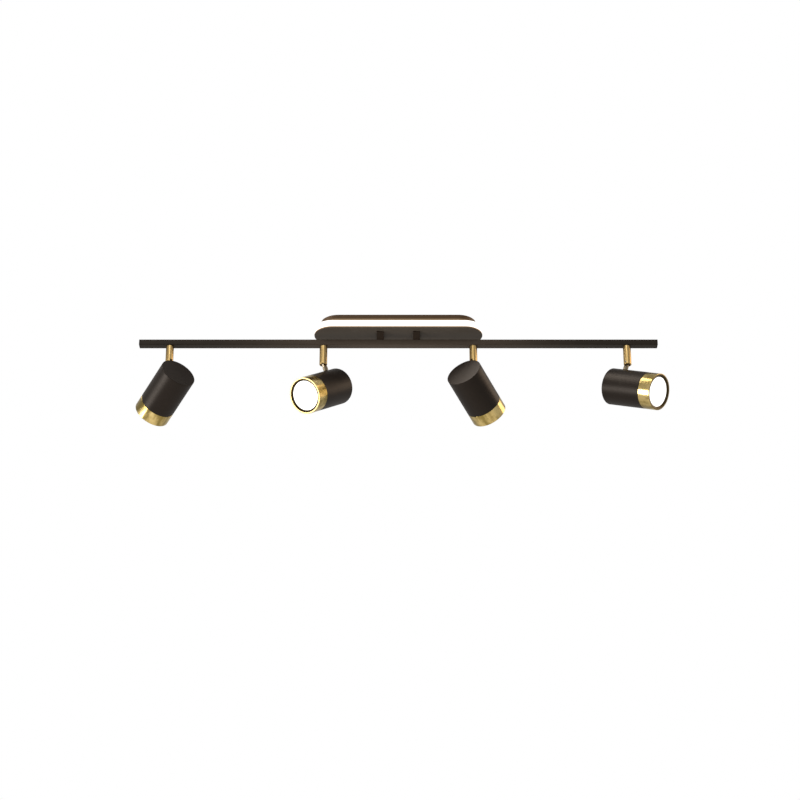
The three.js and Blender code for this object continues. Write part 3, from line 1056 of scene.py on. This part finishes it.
@dataclass
class LampHead:
    """One stem with its lamp head. Both frames have their origin on the tilt pin.

    Attributes:
        fitter: Sets the pieces.
        spot: Which head it is, as its nodes are named.
        pin: Radius of the tilt pin.
        tongue: Width and thickness of the neck's tongue.
        slot_gap: Gap on each side of the tongue.
    """

    fitter: Fitter
    spot: str
    pin: float = 1.2 * MM
    tongue: Point = (7 * MM, 3.4 * MM)
    slot_gap: float = GAP
    turning: Matrix = field(init=False)
    tilting: Matrix = field(init=False)
    level: Matrix = field(init=False)

    def __post_init__(self) -> None:
        """Reads the head's place, heading and tilt from its joints."""
        joints = {joint["name"]: joint for joint in frame["joints"]}
        tilt = joints["tilt_" + self.spot]
        axis = tilt["axis"]
        heading = math.atan2(-axis[0], axis[1])
        down = math.radians(-tilt["range_deg"][0])
        place = Matrix.Translation(tilt["pos_m"])
        self.turning = place @ Matrix.Rotation(heading, 4, "Z")
        self.tilting = self.turning @ Matrix.Rotation(down, 4, "Y")
        centre = self.box("housing", self.tilting).centre
        self.level = self.tilting @ Matrix.Translation((0, 0, centre.z))

    def box(self, kind: str, place: Matrix) -> Extent:
        """The box, in the frame of that place, of this head's CAD node of one kind."""
        return Extent.of(f"{kind}_{self.spot}", place)

    def put(
        self, kind: str, blank: Blank, place: Matrix, slot: Slot, node: Optional[str] = None
    ) -> None:
        """Fits one piece of this head.

        Args:
            kind: The piece's name without the head's.
            blank: Its mesh.
            place: Its frame.
            slot: Its material slot.
            node: The kind of CAD node that it stands for, if it isn't its own name.
        """
        body = ("turn_" if place is self.turning else "head_") + self.spot
        name, nodes = f"{kind}_{self.spot}_piece", [f"{node or kind}_{self.spot}"]
        self.fitter.fit(name, blank, place, body, slot, nodes)

    def stem(self) -> None:
        """Builds the stem with its open, slotted end and the spigot into the bar."""
        box = self.box("stem", self.turning)
        bar = Extent.of("bar")
        origin = self.turning.translation.z
        radius = box.size.y / 2
        low, top = box.low.z, bar.low.z - origin - GAP
        mouth, depth, wire, spigot = radius - 1.7 * MM, 2.4 * MM, 1.7 * MM, 3 * MM
        corners = [
            (wire, low + depth, 0.2 * MM),
            (mouth, low + depth, 0.3 * MM),
            (mouth, low, 0.15 * MM),
            (radius - 0.9 * MM, low, 0.25 * MM),
            (radius, low + 0.9 * MM, 0.5 * MM),
            (radius, top, 0.3 * MM),
            (spigot, top, 0),
            (spigot, box.high.z, 0.3 * MM),
            (wire, box.high.z, 0),
        ]
        post = Blank.turned(corners, facets=72)
        half = self.tongue[0] / 2 + self.slot_gap
        wide = self.tongue[1] + 2 * self.slot_gap
        back, bottom = -radius - MM, low - MM
        slot = Blank.extruded(rectangle(half - back, wide, 0.3 * MM), bottom, half, 0)
        slot.moved((half + back) / 2, 0, 0)
        bore = Blank.rod(self.pin + 0.1 * MM, back, -back, Axis.Y)
        self.put("stem", post.cut(slot).cut(bore), self.turning, Slot.STEM)

    def tilt_pin(self) -> None:
        """Builds the pin with its rounded ends."""
        half = self.box("pivot_pin", self.turning).size.y / 2
        pin = Blank.rod(self.pin, -half, half, Axis.Y, 40, 0.5 * MM)
        self.put("tilt_pin", pin, self.turning, Slot.STEEL, "pivot_pin")

    def neck(self) -> None:
        """Builds the neck: a tongue on the pin, a turned collar and its shank."""
        box = self.box("neck", self.tilting)
        wide, thick = self.tongue
        radius, shank = 3.8 * MM, 2.5 * MM
        wall = self.box("housing", self.tilting).high.z
        shoulder, foot = -7 * MM, wall + GAP
        half, root = wide / 2, shoulder - MM
        bend = half - 0.01 * MM
        outline = fillet(
            [(-half, root, 0), (half, root, 0), (half, half, bend), (-half, half, bend)],
            steps=12,
        )
        upright = Matrix.Rotation(math.pi / 2, 4, "X")
        tongue = Blank.extruded(outline, -thick / 2, thick / 2, 0.25 * MM).rotated(upright)
        corners = [
            (0, box.low.z, 0),
            (shank, box.low.z, 0.4 * MM),
            (shank, foot, 0),
            (radius, foot, 0.3 * MM),
            (radius, shoulder, 0.5 * MM),
            (0, shoulder, 0),
        ]
        collar = Blank.turned(corners, facets=64)
        bore = Blank.rod(self.pin + 0.15 * MM, -3 * MM, 3 * MM, Axis.Y)
        self.put("neck", collar.welded(tongue).cut(bore), self.tilting, Slot.NECK)

    def housing(self) -> None:
        """Builds the housing, a fine tube with rolled ends and the neck's hole."""
        box = self.box("housing", self.level)
        radius, wall = box.size.y / 2 - FLAT, 2 * MM
        corners = [
            (radius - wall, box.low.x, 0.15 * MM),
            (radius, box.low.x, 0.04 * MM),
            (radius, box.high.x, 0.2 * MM),
            (radius - wall, box.high.x, 0.15 * MM),
        ]
        tube = Blank.turned(corners, Axis.X, ROUND)
        drill = Blank.rod(2.65 * MM, 0, 2 * radius)
        self.put("housing", tube.cut(drill), self.level, Slot.HOUSING)

    def rear_cap(self) -> None:
        """Builds the cap that closes the housing's rear end."""
        box = self.box("rear_cap", self.level)
        radius, low, high = box.size.y / 2 - FLAT, box.low.x, box.high.x
        wall = self.box("housing", self.level).low.x
        seat, plug = wall - SEAM, radius - 2.3 * MM
        corners = [
            (0, low, 0),
            (radius, low, 0.55 * MM),
            (radius, seat, 0.04 * MM),
            (plug, seat, 0),
            (plug, high, 0.3 * MM),
            (plug - 2 * MM, high, 0.3 * MM),
            (plug - 2 * MM, seat, 0.2 * MM),
            (0, seat, 0),
        ]
        cap = Blank.turned(corners, Axis.X, ROUND)
        self.put("rear_cap", cap, self.level, Slot.HOUSING)

    def front_ring(self) -> None:
        """Builds the brass ring with its thin lip and the sloping mouth round the lens."""
        box = self.box("front_ring", self.level)
        lens = self.box("lens", self.level)
        radius, front = box.size.y / 2 - FLAT, box.high.x
        back = self.box("housing", self.level).high.x + GAP
        seat = lens.size.y / 2 + GAP
        bezel, step = seat - 1.3 * MM, lens.high.x + SEAM
        corners = [
            (radius - 2.3 * MM, box.low.x, 0.3 * MM),
            (radius - 2.3 * MM, back, 0),
            (radius, back, 0.35 * MM),
            (radius, front, 0.55 * MM),
            (radius - 2.2 * MM, front, 0.35 * MM),
            (bezel, step + 0.3 * MM, 0.1 * MM),
            (bezel, step, 0),
            (seat, step, 0),
            (seat, lens.low.x - GAP, 0.1 * MM),
            (seat - 2.3 * MM, lens.low.x - GAP, 0.1 * MM),
            (seat - 2.3 * MM, box.low.x, 0.3 * MM),
        ]
        ring = Blank.turned(corners, Axis.X, ROUND)
        self.put("front_ring", ring, self.level, Slot.RING)

    def lens(self) -> None:
        """Builds the lens with a soft rim."""
        box = self.box("lens", self.level)
        radius = box.size.y / 2
        corners = [
            (0, box.low.x, 0),
            (radius, box.low.x, 0.3 * MM),
            (radius, box.high.x, 0.5 * MM),
            (0, box.high.x, 0),
        ]
        disc = Blank.turned(corners, Axis.X, ROUND)
        self.put("lens", disc, self.level, Slot.LENS)

    def build(self) -> None:
        """Builds the head's visible pieces."""
        self.stem()
        self.tilt_pin()
        self.neck()
        self.housing()
        self.rear_cap()
        self.front_ring()
        self.lens()


# The studio


@dataclass(frozen=True)
class Softbox:
    """A rectangular area light that points at the fixture.

    Attributes:
        name: Name of the light.
        at: Where it stands.
        size: Its width and height.
        power: Watts.
        colour: Colour of its light.
    """

    name: str
    at: tuple[float, float, float]
    size: tuple[float, float]
    power: float
    colour: Colour = (1, 1, 1)

    def light(self, target: Vector) -> None:
        """Places the light and points it at the target."""
        lamp = bpy.data.lights.new(self.name, "AREA")
        lamp.shape, lamp.energy, lamp.color = "RECTANGLE", self.power, self.colour
        lamp.size, lamp.size_y = self.size
        holder = bpy.data.objects.new(self.name, lamp)
        holder.location = self.at
        holder.rotation_mode = "QUATERNION"
        holder.rotation_quaternion = (target - Vector(self.at)).to_track_quat("-Z", "Y")
        bpy.context.scene.collection.objects.link(holder)


SOFTBOXES = (
    Softbox("front", (-0.5, -2.9, 1.5), (1.6, 1.1), 9, (1, 0.985, 0.96)),
    Softbox("left", (-2.6, -0.6, -0.75), (0.6, 1.3), 30, (1, 0.99, 0.98)),
    Softbox("overhead", (-1.8, -0.2, 2.4), (1.6, 1.6), 60, (1, 0.92, 0.83)),
    Softbox("right", (2.4, 0.4, 1.1), (2.2, 2.0), 27, (1, 0.76, 0.54)),
)


@dataclass
class Studio:
    """The white surround, the floor, the lights and the camera.

    Attributes:
        lens: Focal length, in millimetres.
        rise: How far up the camera looks, in degrees.
        width: Width of the view at the fixture, in metres.
        floor: Height of the floor under the ceiling.
    """

    lens: float = 100.0
    rise: float = 27.0
    width: float = 1.2352
    floor: float = -2.4

    def surround(self) -> None:
        """Writes a surround that is seen as white and lights the fixture with a dim warm grey."""
        world = bpy.data.worlds.new("studio")
        bpy.context.scene.world = world
        world.use_nodes = True
        tree = world.node_tree
        tree.nodes.clear()
        path = tree.nodes.new("ShaderNodeLightPath")
        seen = tree.nodes.new("ShaderNodeBackground")
        soft = tree.nodes.new("ShaderNodeBackground")
        seen.inputs["Color"].default_value = (1, 1, 1, 1)
        soft.inputs["Color"].default_value = (0.95, 0.92, 0.88, 1)
        soft.inputs["Strength"].default_value = 0.48
        blend = tree.nodes.new("ShaderNodeMixShader")
        out = tree.nodes.new("ShaderNodeOutputWorld")
        tree.links.new(path.outputs["Is Camera Ray"], blend.inputs[0])
        tree.links.new(soft.outputs[0], blend.inputs[1])
        tree.links.new(seen.outputs[0], blend.inputs[2])
        tree.links.new(blend.outputs[0], out.inputs["Surface"])

    def ground(self) -> None:
        """Lays a pale floor."""
        far = 9.0
        mesh = bpy.data.meshes.new("floor")
        corners = [
            (x, y, self.floor) for x, y in ((-far, -far), (far, -far), (far, far), (-far, far))
        ]
        mesh.from_pydata(corners, [], [(0, 1, 2, 3)])
        recipe = Recipe("floor_paint")
        cloud = recipe.noise(0.6, detail=2)
        tone = recipe.mix(cloud, (0.93, 0.93, 0.93), (0.9, 0.9, 0.9))
        mesh.materials.append(recipe.finish(Base_Color=tone, Roughness=0.8))
        ground = bpy.data.objects.new("floor", mesh)
        bpy.context.scene.collection.objects.link(ground)

    def camera(self) -> None:
        """Sets the camera below the fixture, looking up at it."""
        bar = Extent.of("bar")
        target = Vector((2.5 * MM, 37.5 * MM, bar.low.z - 73.5 * MM))
        rise = math.radians(self.rise)
        ahead = Vector((0, math.cos(rise), math.sin(rise)))
        data = bpy.data.cameras.new("camera")
        data.lens, data.sensor_width = self.lens, SENSOR
        eye = bpy.data.objects.new("camera", data)
        eye.location = target - ahead * (self.width * self.lens / SENSOR)
        eye.rotation_mode = "QUATERNION"
        eye.rotation_quaternion = ahead.to_track_quat("-Z", "Y")
        bpy.context.scene.collection.objects.link(eye)
        bpy.context.scene.camera = eye

    def build(self) -> None:
        """Sets up the studio."""
        bpy.context.scene.view_settings.view_transform = "Standard"
        self.surround()
        self.ground()
        for box in SOFTBOXES:
            box.light(Vector((0, 0, -0.1)))
        self.camera()


def main() -> None:
    """Builds the fixture and the studio."""
    logging.basicConfig(level=logging.INFO, format="%(name)s %(message)s")
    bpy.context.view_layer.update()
    fitter = Fitter(Workshop())
    Canopy(fitter).build()
    Bar(fitter).build()
    spots = [j["name"][4:] for j in frame["joints"] if j["name"].startswith("pan_")]
    for spot in spots:
        LampHead(fitter, spot).build()
    for name, node in frame["nodes"].items():
        if not node.hide_render:
            fitter.dress(name)
    Studio().build()
    LOG.info("%d new pieces", fitter.count)


if __name__ == "__main__":
    main()
